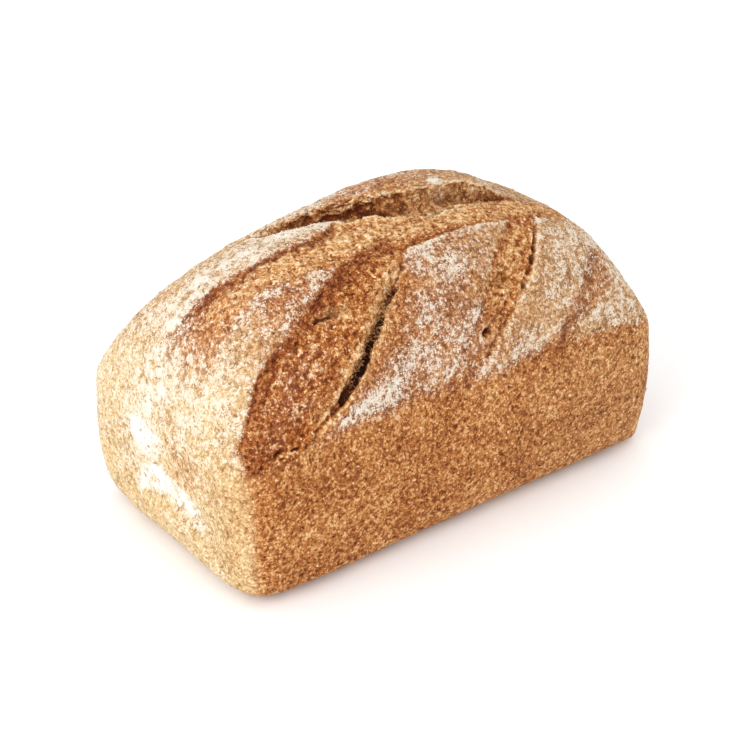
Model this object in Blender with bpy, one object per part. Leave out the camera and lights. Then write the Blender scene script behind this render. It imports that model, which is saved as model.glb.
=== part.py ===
"""A tin loaf: wholegrain bread baked in a tin, its floured top opened by long scores.

Metres, +Z up. The origin is on the surface that the loaf rests on, under the middle
of its box. +X runs along the loaf, and the side towards -Y is the near long side.
The loaf is one solid. A point of its domed top is given by x, along the loaf, and by
its turn, the angle in degrees round the dome: 0 on the ridge, -90 at the near rim.
"""
import math

import bmesh
import bpy
from mathutils import Matrix, Vector, noise

MM = 0.001

# Size of the loaf
LENGTH = 205 * MM
WIDTH = 111 * MM
RIM_HEIGHT = 54.5 * MM
DOME_HEIGHT = 115 * MM
HALF_LENGTH = LENGTH / 2
HALF_WIDTH = WIDTH / 2

# The sides that the tin formed
CORNER_POWER = 11.0
BASE_ROUND, BASE_ROUND_LAST, LAST_FROM = 10.5 * MM, 4.5 * MM, 0.6
TAPER_ALONG = (3.6 * MM, 0.4 * MM)
TAPER_ACROSS = (0.2 * MM, 3.8 * MM)
SWELL = 1.8 * MM

# The dome that rose over the tin's rim
ARCH_ALONG = (2.75, 2.56)
ARCH_ACROSS = (2.28, 1.82)
CORNER_FALL = 14.0
LEAN = -0.069
RIDGE_SHIFT = -6 * MM

# The fold in each end, where the dough crept over itself in the tin: a bowed crease that
# pushes the face in, over a lobe that stands out
FOLD_DEPTHS = (3.2 * MM, 1.6 * MM)
FOLD_WIDTH = 5 * MM
FOLD_HEIGHT, FOLD_DROP = 31 * MM, 7 * MM
FOLD_MIDDLE, FOLD_REACH = -6 * MM, 26 * MM
FOLD_FROM, FOLD_FADE = 0.8, 0.4
LOBE_SHARE, LOBE_BELOW, LOBE_WIDTH = 0.5, 10 * MM, 6 * MM

# Soft unevenness of the whole crust
LUMP_SEED = 7
LUMP_SIZE = 34 * MM
LUMP_HEIGHT = 1.1 * MM

# The far flap, which stands up over the mouth of the main score. Its free edge is given
# by how far across the loaf it lies, in millimetres, at equal steps from end to end.
FLAP_LIFT = 10.5 * MM
FLAP_MIDDLE, FLAP_SPREAD = 19 * MM, 51 * MM
FLAP_TOP, FLAP_FALL = 25 * MM, 19 * MM
FLAP_FROM, FLAP_TO = -50 * MM, 60 * MM
FLAP_EDGE = (21, 13.5, 6, -2, -2, -8)
FLAP_EDGE_SHARE = 0.65
FLAP_RAMP = 5 * MM
FLAP_FREEING, FLAP_FOOT = 1.3, (6, 2)

# The scores: lines of x in millimetres and turn in degrees, each from its first end.
# A score opens between two lines. Its floor is deepest at the first one, where the
# skin ends in a step, and runs out shallow at the second.
LONG_STEP = ((-99, 9), (-78, 2), (-56, -2), (-34, -3), (-14, 3), (4, 0), (24, -5), (54, -8), (84, -15))
LONG_RUN = ((-98, -25), (-76, -19), (-50, -21), (-24, -27), (0, -27), (24, -24), (54, -25), (84, -21))
WIDE_STEP = ((-20, -19), (-42, -27), (-64, -37), (-84, -45), (-97, -62))
WIDE_RUN = ((-8, -28), (-27, -43.5), (-46, -60.5), (-68, -71.5), (-92, -82))
RIGHT_STEP = ((47, -24), (30, -38), (12, -57), (-10, -80))
RIGHT_RUN = ((58, -26), (45, -42), (26, -61), (2, -82))
END_STEP = ((77, -38), (64, -56), (50, -71), (30, -83))
END_RUN = ((83, -40), (77, -58), (61, -72), (40, -86))
BACK_STEP = ((-10, 42), (-28, 55), (-48, 68), (-70, 82))
BACK_RUN = ((4, 44), (-6, 60), (-26, 74), (-54, 85))
BACK_SHIFTS = (-12, 52)
SCORE_HEADROOM = 5 * MM
SCORE_TIP, SCORE_POINT = 0.1, 0.25
SCORE_TAPER, CRACK_TAPER = 0.4, 0.6
SCORE_FALL = 0.7
END_SHARE = 0.02

# The cracks, each along the second line of its score, and the mouth under the flap
CRACK_TOP, CRACK_FOOT = (-0.9, 0.3), (2.6, 2.9)
CRACK_RAG, CRACK_RAG_SIZE = 0.3, 6 * MM
MOUTH_DEPTH = 3.5 * MM
MOUTH_REACH = 7.5 * MM
MOUTH_UNDERCUT = 3.0 * MM
FLAP_SKIN = 2.5 * MM
MOUTH_HEADROOM = 6 * MM
MOUTH_STRETCH = (0.03, 0.97)
MOUTH_TOP_GAP, LEAST_GAP = 2 * MM, 0.5 * MM
MOUTH_TAPER, MOUTH_FRONT_SHARE = (-0.6, 1.0), 0.2

# What counts as the flat underside, then faces along, across and up the loaf, and along
# and across a score
FLAT_WITHIN = 0.01 * MM
FACES_ALONG, FACES_ACROSS = 64, 40
FACES_BASE, FACES_WALL = 3, 5
SCORE_FACES = (16, 3)
CRACK_FACES = 14
MOUTH_FACES = (20, 3)
SHARP_ANGLE = 40


def smooth(share):
    """Ease from 0 at share 0 to 1 at share 1."""
    share = min(max(share, 0.0), 1.0)
    return share * share * (3.0 - 2.0 * share)


def blend(first, last, share):
    """Value at a share of the way from first to last."""
    return first + (last - first) * share


def along_line(points, share):
    """Point at a share of the way along a smooth line through points."""
    place = share * (len(points) - 1)
    index = min(int(place), len(points) - 2)
    before, after = max(index - 1, 0), min(index + 2, len(points) - 1)
    a, b, c, d = (Vector(points[i]) for i in (before, index, index + 1, after))
    t = place - index
    pull = (c - a) * t + (2 * a - 5 * b + 4 * c - d) * t ** 2 + (3 * b - a - 3 * c + d) * t ** 3
    return b + pull / 2


def arch(share, power, root):
    """Height of an arch at a share of its half span, 1 in the middle and 0 at its foot."""
    return max(1.0 - abs(share) ** power, 0.0) ** (1.0 / root)


def corner_reach(x, y):
    """1 on the loaf's outline from above, which is a rectangle with round corners."""
    power = CORNER_POWER
    return (abs(x / HALF_LENGTH) ** power + abs(y / HALF_WIDTH) ** power) ** (1.0 / power)


def flap_share(x):
    """How far along the flap x lies, 0 and 1 at its ends."""
    return min(max((x - FLAP_FROM) / (FLAP_TO - FLAP_FROM), 0.0), 1.0)


def flap_edge(x):
    """How far across the loaf the flap's free edge lies at x."""
    return along_line([(value, 0) for value in FLAP_EDGE], flap_share(x))[0] * MM


def gape(x):
    """How open the mouth is at x, 0 at its ends and 1 in the middle."""
    return math.sin(math.pi * flap_share(x)) ** 0.5


def flap_lift(x, y):
    """How far the far flap stands up from the dome."""
    hill = math.exp(-(((y - FLAP_TOP) / FLAP_FALL) ** 2))
    edge = flap_edge(x)
    front = smooth((y - edge + FLAP_RAMP + MM) / FLAP_RAMP)
    stepped = front * (FLAP_EDGE_SHARE + (1 - FLAP_EDGE_SHARE) * smooth((y - edge) / (FLAP_TOP - edge)))
    if y < FLAP_TOP:
        hill += (stepped - hill) * smooth(FLAP_FREEING * gape(x))
    along = math.exp(-(((x - FLAP_MIDDLE) / FLAP_SPREAD) ** 2))
    return FLAP_LIFT * along * hill * arch(y / HALF_WIDTH, *FLAP_FOOT)


def dome_height(x, y):
    """Height of the domed top at x, y."""
    across = y - RIDGE_SHIFT * (1.0 - (y / HALF_WIDTH) ** 2)
    rise = arch(x / HALF_LENGTH, *ARCH_ALONG) * arch(across / HALF_WIDTH, *ARCH_ACROSS)
    corner = max(1.0 - corner_reach(x, y) ** CORNER_FALL, 0.0) ** 0.5
    return RIM_HEIGHT + (DOME_HEIGHT - RIM_HEIGHT) * (1.0 + LEAN * x / HALF_LENGTH) * rise * corner


def dome_point(x, turn):
    """Point of the dome's crust."""
    y = HALF_WIDTH * math.sin(math.radians(turn))
    return Vector((x, y, dome_height(x, y) + flap_lift(x, y)))


def dome_normal(x, turn):
    """Direction out of the dome."""
    step = 0.5
    run = dome_point(x + step * MM, turn) - dome_point(x - step * MM, turn)
    rise = dome_point(x, turn + step) - dome_point(x, turn - step)
    return run.cross(rise).normalized()


def lumps(point):
    """Soft unevenness, which dies out on the flat underside."""
    wave = noise.noise_vector(point / LUMP_SIZE) * LUMP_HEIGHT
    wave.z *= smooth(point.z / (RIM_HEIGHT / 2))
    return wave


def wall(share, base_round):
    """Inset and height of the wall at a share of the way up it."""
    base = FACES_BASE / (FACES_BASE + FACES_WALL)
    if share < base:
        angle = math.radians(90 * share / base)
        return base_round * (1 - math.sin(angle)), base_round * (1 - math.cos(angle))
    return 0.0, base_round + (RIM_HEIGHT - base_round) * (share - base) / (1 - base)


def end_fold(point):
    """How far the fold in an end pushes its face in, along x."""
    if abs(point.x) < FOLD_FROM * HALF_LENGTH:
        return 0.0
    across = (point.y - FOLD_MIDDLE) / FOLD_REACH
    below = FOLD_HEIGHT - FOLD_DROP * across * across - point.z
    crease = math.exp(-((below / FOLD_WIDTH) ** 2))
    lobe = LOBE_SHARE * math.exp(-(((below - LOBE_BELOW) / LOBE_WIDTH) ** 2))
    dent = (crease - lobe) * smooth((1 + FOLD_FADE - abs(across)) / FOLD_FADE)
    return FOLD_DEPTHS[0] * dent if point.x < 0 else -FOLD_DEPTHS[1] * dent


def loaf_point(u, v, w):
    """Where a point of the unit block lies on the loaf."""
    x, y = HALF_LENGTH * math.sin(math.pi / 2 * u), HALF_WIDTH * math.sin(math.pi / 2 * v)
    reach = corner_reach(x, y)
    square = max(abs(x / HALF_LENGTH), abs(y / HALF_WIDTH))
    draw = square / reach if reach > 0 else 1.0
    x, y = x * draw, y * draw
    if w == 1:
        point = Vector((x, y, dome_height(x, y) + flap_lift(x, y)))
    else:
        base_round = blend(BASE_ROUND, BASE_ROUND_LAST, smooth((u - LAST_FROM) / (1 - LAST_FROM)))
        inset, height = wall(w, base_round)
        drop = 1 - height / RIM_HEIGHT
        swell = SWELL * math.sin(math.pi * drop)
        draw_x = (inset + blend(*TAPER_ALONG, smooth((u + 1) / 2)) * drop - swell) / HALF_LENGTH
        draw_y = (inset + blend(*TAPER_ACROSS, smooth((u + 1) / 2)) * drop - swell) / HALF_WIDTH
        point = Vector((x * (1 - draw_x), y * (1 - draw_y), height))
    point += lumps(point)
    point.x += end_fold(point)
    return point


def spread(count, low=-1.0, high=1.0):
    """Values from low to high in equal steps."""
    return [low + (high - low) * i / count for i in range(count + 1)]


def block(name, cuts, place, collection):
    """A cube cut into slices across each axis, with every point put where place says."""
    mesh = bmesh.new()
    bmesh.ops.create_cube(mesh, size=2.0)
    for axis, values in enumerate(cuts):
        low, high = values[0], values[-1]
        for vertex in mesh.verts:
            vertex.co[axis] = low if vertex.co[axis] < 0 else high
        normal = Vector([float(i == axis) for i in range(3)])
        for value in values[1:-1]:
            everything = mesh.verts[:] + mesh.edges[:] + mesh.faces[:]
            bmesh.ops.bisect_plane(mesh, geom=everything, plane_co=normal * value, plane_no=normal)
    for vertex in mesh.verts:
        u, v, w = (round(value, 6) for value in vertex.co)
        vertex.co = place(u, v, w)
    if mesh.calc_volume(signed=True) < 0:
        bmesh.ops.reverse_faces(mesh, faces=mesh.faces)
    data = bpy.data.meshes.new(name)
    mesh.to_mesh(data)
    mesh.free()
    solid = bpy.data.objects.new(name, data)
    collection.objects.link(solid)
    return solid


def swollen(share):
    """How wide a gap is at a share of its length, nearly 0 at its ends and 1 in the middle."""
    return math.sin(math.pi * min(max(share, END_SHARE), 1 - END_SHARE))


def score_block(name, step, run, depths, collection):
    """The space of one score, from its floor to clear above the crust."""
    deep, shallow = (depth * MM for depth in depths)

    def place(u, v, w):
        left, right = along_line(step, u), along_line(run, u)
        pinch = blend(SCORE_TIP, 1, smooth(min(u, 1 - u) / SCORE_POINT))
        spot = left.lerp(right, 0.5 + (v - 0.5) * pinch)
        x, turn = spot.x * MM, spot.y
        taper = swollen(u) ** SCORE_TAPER
        floor = blend(deep, shallow, v ** SCORE_FALL) * (2 * taper - 1)
        height = SCORE_HEADROOM if w else -floor
        return dome_point(x, turn) + dome_normal(x, turn) * height

    cuts = (spread(SCORE_FACES[0], 0.0), spread(SCORE_FACES[1], 0.0), spread(1, 0.0))
    return block(name, cuts, place, collection)


def crack_block(name, line, length, width, depth, collection):
    """A narrow wedge along a line of the dome, which leans in under the next flap."""
    width, depth = width * MM, depth * MM

    def place(u, v, w):
        share = length * u
        here, ahead = along_line(line, share), along_line(line, share + END_SHARE)
        spot = dome_point(here.x * MM, here.y)
        out = dome_normal(here.x * MM, here.y)
        run = (dome_point(ahead.x * MM, ahead.y) - spot).normalized()
        side = out.cross(run)
        swell = swollen(u) ** CRACK_TAPER
        ragged = 1 + CRACK_RAG * noise.noise(spot / CRACK_RAG_SIZE)
        half = width / 2 * swell * ragged
        if w:
            return spot + out * SCORE_HEADROOM + side * half * blend(*CRACK_TOP, v)
        return spot - out * depth * swell + side * half * blend(*CRACK_FOOT, v)

    cuts = (spread(CRACK_FACES, 0.0), spread(1), spread(1, 0.0))
    return block(name, cuts, place, collection)


def mouth_block(name, collection):
    """The space in front of and under the far flap's free edge."""

    def place(u, v, w):
        x = blend(FLAP_FROM, FLAP_TO, blend(*MOUTH_STRETCH, u))
        open_share = gape(x)
        edge = flap_edge(x)
        front = edge - MOUTH_REACH
        if w == 2:
            back = edge - MOUTH_TOP_GAP
        else:
            back = edge + MOUTH_UNDERCUT * open_share
        y = front + (back - front) * v
        ground = dome_height(x, y)
        floor = ground - MOUTH_DEPTH * blend(*MOUTH_TAPER, open_share) * blend(MOUTH_FRONT_SHARE, 1, v)
        under = max(flap_lift(x, edge) - FLAP_SKIN, LEAST_GAP)
        return Vector((x, y, (floor, floor + under, ground + under + FLAP_SKIN + MOUTH_HEADROOM)[int(w)]))

    cuts = (spread(MOUTH_FACES[0], 0.0), spread(MOUTH_FACES[1], 0.0), (0.0, 1.0, 2.0))
    return block(name, cuts, place, collection)


def crust_material():
    """Baked wholegrain crust."""
    material = bpy.data.materials.new("crust")
    material.use_nodes = True
    shader = material.node_tree.nodes["Principled BSDF"]
    shader.inputs["Base Color"].default_value = (0.50, 0.24, 0.11, 1.0)
    shader.inputs["Roughness"].default_value = 0.85
    shader.inputs["Metallic"].default_value = 0.0
    return material


def centre(solids):
    """Move the solids together, so that the first one's box is centred on the origin."""
    points = [vertex.co for vertex in solids[0].data.vertices]
    middle = [(min(p[axis] for p in points) + max(p[axis] for p in points)) / 2 for axis in (0, 1)]
    for solid in solids:
        solid.data.transform(Matrix.Translation((-middle[0], -middle[1], 0)))


def flatten_base(solid):
    """Make the underside one flat face."""
    mesh = bmesh.new()
    mesh.from_mesh(solid.data)
    under = [face for face in mesh.faces if max(v.co.z for v in face.verts) < FLAT_WITHIN]
    bmesh.ops.dissolve_faces(mesh, faces=under, use_verts=True)
    mesh.to_mesh(solid.data)
    mesh.free()


def cut_scores(solid, cutters):
    """Take the scores, the cracks and the mouth out of the loaf."""
    for cutter in cutters.objects:
        cutter.hide_render = True
        cutter.display_type = "WIRE"
        cut = solid.modifiers.new(cutter.name, "BOOLEAN")
        cut.operation = "DIFFERENCE"
        cut.object = cutter


for leftover in list(bpy.data.objects):
    bpy.data.objects.remove(leftover, do_unlink=True)

loaf_parts = bpy.data.collections.new("tin loaf")
score_cutters = bpy.data.collections.new("score cutters")
for collection in (loaf_parts, score_cutters):
    bpy.context.scene.collection.children.link(collection)

noise.seed_set(LUMP_SEED)
wall_rows = FACES_BASE + FACES_WALL
loaf_cuts = (spread(FACES_ALONG), spread(FACES_ACROSS), spread(wall_rows, 0.0))
loaf = block("loaf", loaf_cuts, loaf_point, loaf_parts)
flatten_base(loaf)
loaf.data.materials.append(crust_material())

# Each score: its two lines, its depths at them, and the length of its crack as a share of
# the second line, then the crack's width and depth
SCORES = {
    "long": (LONG_STEP, LONG_RUN, (1.8, 0.5), None),
    "wide": (WIDE_STEP, WIDE_RUN, (2.4, 1.1), (0.8, 5.8, 10.0)),
    "right": (RIGHT_STEP, RIGHT_RUN, (1.5, 2.2), (0.95, 3.2, 6.0)),
    "end": (END_STEP, END_RUN, (0.9, 0.5), None),
}
for number, shift in enumerate(BACK_SHIFTS, 1):
    lines = [[(x + shift, turn) for x, turn in line] for line in (BACK_STEP, BACK_RUN)]
    SCORES[f"back_{number}"] = (*lines, (2.6, 0.8), None)

for name, (step, run, depths, crack) in SCORES.items():
    score_block(name + "_score", step, run, depths, score_cutters)
    if crack:
        crack_block(name + "_crack", run, *crack, score_cutters)
mouth_block("mouth", score_cutters)
centre([loaf, *score_cutters.objects])
cut_scores(loaf, score_cutters)

loaf.data.shade_smooth()
loaf.data.set_sharp_from_angle(angle=math.radians(SHARP_ANGLE))
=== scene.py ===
"""A wholegrain tin loaf: its baked crust, flour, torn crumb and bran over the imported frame."""
import math

import bpy
import numpy as np
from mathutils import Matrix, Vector, noise


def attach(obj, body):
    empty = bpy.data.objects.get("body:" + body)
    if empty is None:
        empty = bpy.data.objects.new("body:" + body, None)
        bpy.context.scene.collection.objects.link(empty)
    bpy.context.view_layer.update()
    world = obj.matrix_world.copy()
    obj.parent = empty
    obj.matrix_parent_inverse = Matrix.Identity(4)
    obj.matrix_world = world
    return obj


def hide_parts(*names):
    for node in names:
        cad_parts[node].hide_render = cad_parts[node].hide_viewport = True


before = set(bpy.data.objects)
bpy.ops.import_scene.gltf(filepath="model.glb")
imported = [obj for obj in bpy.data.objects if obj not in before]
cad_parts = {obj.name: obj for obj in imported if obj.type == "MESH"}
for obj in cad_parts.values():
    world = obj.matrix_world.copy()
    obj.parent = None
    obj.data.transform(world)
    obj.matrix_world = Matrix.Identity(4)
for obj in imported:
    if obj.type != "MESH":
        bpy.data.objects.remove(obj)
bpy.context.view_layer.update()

bpy.ops.object.select_all(action="DESELECT")

# The loaf's crust: one piece of dough, baked in a tin up to the rim and free above it.
# It is a copy of the frame's solid, meshed evenly at about a millimetre and eased, so
# that the facets go while the scores, the cracks and the raised flap stay.
MESH_STEP = 0.0011
MERGE_WITHIN = 0.00002
EASE_ROUNDS, EASE_SHARE = 4, 0.5


def placed(name, data):
    """A new object in the scene, of a mesh, a light or a camera."""
    thing = bpy.data.objects.new(name, data)
    bpy.context.scene.collection.objects.link(thing)
    return thing


def work_on(piece):
    """Make a piece the only one that operators act on."""
    bpy.ops.object.select_all(action="DESELECT")
    piece.select_set(True)
    bpy.context.view_layer.objects.active = piece


def apply_modifier(piece, kind, **settings):
    """Add one modifier with its settings and apply it."""
    modifier = piece.modifiers.new(kind.lower(), kind)
    for name, value in settings.items():
        setattr(modifier, name, value)
    work_on(piece)
    bpy.ops.object.modifier_apply(modifier=modifier.name)


crust = placed("loaf_crust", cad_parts["loaf"].data.copy())
work_on(crust)
bpy.ops.object.mode_set(mode="EDIT")
bpy.ops.mesh.select_all(action="SELECT")
bpy.ops.mesh.remove_doubles(threshold=MERGE_WITHIN)
bpy.ops.mesh.normals_make_consistent(inside=False)
bpy.ops.object.mode_set(mode="OBJECT")
apply_modifier(crust, "REMESH", mode="VOXEL", voxel_size=MESH_STEP, use_smooth_shade=True)
apply_modifier(crust, "SMOOTH", factor=EASE_SHARE, iterations=EASE_ROUNDS)

# Where a point of the crust lies: x along the loaf in millimetres, and its turn, the
# angle in degrees round the dome, 0 on the ridge and -90 at the near rim. A degree is
# close to a millimetre of crust, so both are lengths. The dome's sizes are the solid's.
MM = 1000
HALF_LENGTH, HALF_WIDTH = 102.5, 55.5
RIM_HEIGHT, DOME_RISE = 54.5, 60.5
ARCH_ALONG, ARCH_ACROSS = (2.75, 2.56), (2.28, 1.82)
LEAST_ARCH = 0.02
LEAN = -0.069
STEEP_TURNS = (35, 55)
RIM_TURN = 90


def ease(low, high, value):
    """0 at low, 1 at high and a smooth change between, for numbers or arrays."""
    share = np.clip((value - low) / (high - low), 0, 1)
    return share * share * (3 - 2 * share)


def hump(value, middle, width, power=2):
    """1 where the value is at its middle, falling to nothing past a width from it."""
    return np.exp(-((value - middle) / width) ** power)


def oval(u, v, power=1):
    """1 where both shares are 0, falling to nothing past a circle of 1."""
    return np.exp(-(u ** 2 + v ** 2) ** power)


def rows_of(piece, what):
    """A piece's points, "co", or the directions out of it there, "normal", as rows."""
    values = np.empty(len(piece.data.vertices) * 3)
    piece.data.vertices.foreach_get(what, values)
    return values.reshape(-1, 3)


def rise_at(x):
    """How far the dome rises over the rim, more at the left than at the right."""
    return DOME_RISE * (1 + LEAN * x / HALF_LENGTH)


def ridge_share(x):
    """The ridge's height over the rim, as a share of the dome's rise."""
    return np.clip(1 - np.abs(x / HALF_LENGTH) ** ARCH_ALONG[0], LEAST_ARCH, 1) ** (1 / ARCH_ALONG[1])


def turn_of(points):
    """The turn of points of the crust: from how far across they lie, or on the steep
    sides of the dome from their height. Below the rim it goes on down the wall."""
    x, y, z = points.T
    flat = np.degrees(np.arcsin(np.clip(y / HALF_WIDTH, -1, 1)))
    rise = (z - RIM_HEIGHT) / (rise_at(x) * ridge_share(x))
    share = np.clip(1 - np.clip(rise, 0, 1) ** ARCH_ACROSS[1], 0, 1) ** (1 / ARCH_ACROSS[0])
    steep = np.degrees(np.arcsin(share)) * np.sign(y)
    turn = flat + (steep - flat) * ease(*STEEP_TURNS, np.abs(flat))
    return np.where(z < RIM_HEIGHT, np.sign(y) * (RIM_TURN + RIM_HEIGHT - z), turn)


def clouds(points, size, octaves=3, shift=0.0):
    """Soft noise over points, about -1 to 1, with features of size millimetres."""
    spots = points / size + shift
    return np.array([noise.fractal(Vector(spot), 1.0, 2.0, octaves) for spot in spots])


def cells(points, size, shift=0.0):
    """For each point, how far the nearest of scattered spots is, as a share of size."""
    return np.array([noise.voronoi(Vector(spot))[0][0] for spot in points / size + shift])


place = rows_of(crust, "co") * MM
out = rows_of(crust, "normal")
along, across, high = place.T
turn = turn_of(place)

# The scores' lines, in x and turn: where the floured skin ends in a step, and where the
# torn dough runs out under the next skin. The two back scores are one, set at two shifts.
LONG_STEP = ((-99, 9), (-78, 2), (-56, -2), (-34, -3), (-14, 3), (4, 0), (24, -5), (54, -8), (84, -15))
LONG_RUN = ((-98, -25), (-76, -19), (-50, -21), (-24, -27), (0, -27), (24, -24), (54, -25), (84, -21))
WIDE_STEP = ((-20, -19), (-42, -27), (-64, -37), (-84, -45), (-97, -62))
WIDE_RUN = ((-8, -28), (-28, -44.5), (-44, -60.3), (-60, -72), (-70, -77.5), (-84, -84))
FRONT_STEP = ((47, -24), (30, -38), (12, -57), (-10, -80))
FRONT_RUN = ((58, -26), (45, -42), (26, -61), (2, -82))
END_STEP = ((77, -38), (64, -56), (50, -71), (30, -83))
END_RUN = ((83, -40), (77, -58), (61, -72), (40, -86))
BACK_STEP = ((-10, 42), (-28, 55), (-48, 68), (-70, 82))
BACK_RUN = ((4, 44), (-6, 60), (-26, 74), (-54, 85))
BACK_SHIFTS = (-12, 52)
JUST_OVER_ONE = 1.0001


def smooth_line(points, count=80):
    """Points on a smooth line through the given ones."""
    rows = np.array([points[0], *points, points[-1]], float)
    spots = []
    for place_on_line in np.linspace(0, len(points) - JUST_OVER_ONE, count):
        i, t = int(place_on_line), place_on_line % 1
        a, b, c, d = rows[i:i + 4]
        bend = (c - a) * t + (2 * a - 5 * b + 4 * c - d) * t ** 2 + (3 * b - a - 3 * c + d) * t ** 3
        spots.append(b + bend / 2)
    return np.array(spots)


def beside(line, u, v):
    """How far points u, v lie to the right of a line of rising u, seen from its start."""
    spots = smooth_line(line)
    order = np.argsort(spots[:, 0])
    spots = spots[order]
    slope = np.gradient(spots[:, 1], spots[:, 0])
    gap = np.interp(u, spots[:, 0], spots[:, 1]) - v
    return gap / np.sqrt(1 + np.interp(u, spots[:, 0], slope) ** 2)


def swapped(line, shift=0):
    """A line that is read by its turn and not by its x."""
    return tuple((spot[1], spot[0] + shift) for spot in line)


def share_between(low, high, value):
    """1 between low and high, with soft ends a tenth as long as the stretch."""
    soft = (high - low) / 10
    return ease(low, low + soft, value) * (1 - ease(high - soft, high, value))


# How each score was baked: where along its own line it runs, how softly its torn dough
# starts and runs out, how torn it is, the width of the dark strip past its step, how
# dark that is, and how raised and white the next skin's border is
RAG, RAG_SIZE = 1.6, 7
START, RUN_OUT = 1.4, 0.7
LONG_ENDS, LONG_DARK_ENDS, LONG_STRIP = (-101, 88), (-100, -18), 1.9
LONG_START_MORE, LONG_RUN_OUT_MORE = 3.0, 3.2
LONG_BORDER, LONG_BORDER_MORE = 0.4, 0.25
ragged = clouds(place, RAG_SIZE, 4) * RAG
rough_turn, rough_along = turn + ragged, along + clouds(place, RAG_SIZE, 4, 40) * RAG
long_ends = share_between(*LONG_ENDS, along)
bands = [(beside(LONG_STEP, along, rough_turn), -beside(LONG_RUN, along, rough_turn), long_ends,
          START + LONG_START_MORE * ease(-52, -78, along), RUN_OUT + LONG_RUN_OUT_MORE * ease(-25, -50, along),
          1, LONG_STRIP, share_between(*LONG_DARK_ENDS, along),
          LONG_BORDER + LONG_BORDER_MORE * ease(-20, 5, along))]
for step, run, shift, ends, torn_by, strip, dark, border in (
    (WIDE_STEP, WIDE_RUN, 0, (-86, -16), 1, 6.0, 0.9, 0.5),
    (FRONT_STEP, FRONT_RUN, 0, (-86, -20), 0.35 + 0.65 * ease(-66, -50, turn), 1.3, 0.4, 0.1),
    (END_STEP, END_RUN, 0, (-84, -36), 0.4, 4.0, 0.3, 0.0),
    (BACK_STEP, BACK_RUN, BACK_SHIFTS[0], (42, 85), 1, 4.0, 0.7, 0.6),
    (BACK_STEP, BACK_RUN, BACK_SHIFTS[1], (42, 85), 1, 4.0, 0.7, 0.6),
):
    bands.append((-beside(swapped(step, shift), turn, rough_along),
                  beside(swapped(run, shift), turn, rough_along),
                  share_between(*ends, turn), START, RUN_OUT, torn_by, strip, dark, border))

DARKEST = 0.3
PAST_STEP, BEFORE_RUN = (-2.0, 1.2), (-0.5, 2.5)
SLOPE_MIDDLE, SLOPE_WIDTH, SLOPE_BEFORE_RUN = 1, 5, (3, 8)
LIP_BACK, LIP_WIDTH, LIP_PAST_STEP = -1.4, 1.3, (-1, 3)
STEP_LIP, STEP_LIP_WIDTH = 0.3, 1.5
torn, baked, lip, step_slope = (np.zeros(len(place)) for _ in range(4))
for past_step, before_run, ends, start, fade, torn_by, strip, dark, border in bands:
    torn = np.maximum(torn, ease(-start, start, past_step) * ease(-fade, fade, before_run) * ends * torn_by)
    inside = ease(*PAST_STEP, past_step) * ease(*BEFORE_RUN, before_run)
    strip = strip + start - START
    baked = np.maximum(baked, hump(past_step, DARKEST * strip, strip) * dark * ends * inside)
    slope = hump(past_step, SLOPE_MIDDLE, SLOPE_WIDTH) * ends * ease(*SLOPE_BEFORE_RUN, before_run)
    step_slope = np.maximum(step_slope, slope)
    next_lip = border * hump(before_run, LIP_BACK, LIP_WIDTH) * ends * ease(*LIP_PAST_STEP, past_step)
    lip = np.maximum(lip, next_lip)
    lip = np.maximum(lip, STEP_LIP * dark * hump(past_step, LIP_BACK, STEP_LIP_WIDTH) * ends)

SPOTS_ON_LINE = 60
FAR = 1e9


def patch(x, turning, length, breadth, tilt=0):
    """A soft oval patch of the crust, 1 in its middle, its length turned by tilt degrees."""
    angle = math.radians(tilt)
    du, dv = along - x, turn - turning
    run = du * math.cos(angle) + dv * math.sin(angle)
    side = dv * math.cos(angle) - du * math.sin(angle)
    return oval(run / length, side / breadth)


def near_line(line, width, stretch=(0.0, 1.0)):
    """1 on a stretch of a line in x and turn, falling to nothing past a width from it."""
    spots = smooth_line(line, SPOTS_ON_LINE)
    spots = spots[int(SPOTS_ON_LINE * stretch[0]):int(SPOTS_ON_LINE * stretch[1])]
    gap = np.full(len(place), FAR)
    for first, last in zip(spots[:-1], spots[1:]):
        run = last - first
        share = ((along - first[0]) * run[0] + (turn - first[1]) * run[1]) / max(run @ run, 1 / FAR)
        share = np.clip(share, 0, 1)
        sideways = np.hypot(along - first[0] - share * run[0], turn - first[1] - share * run[1])
        gap = np.minimum(gap, sideways)
    return hump(gap, 0, width)


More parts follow.
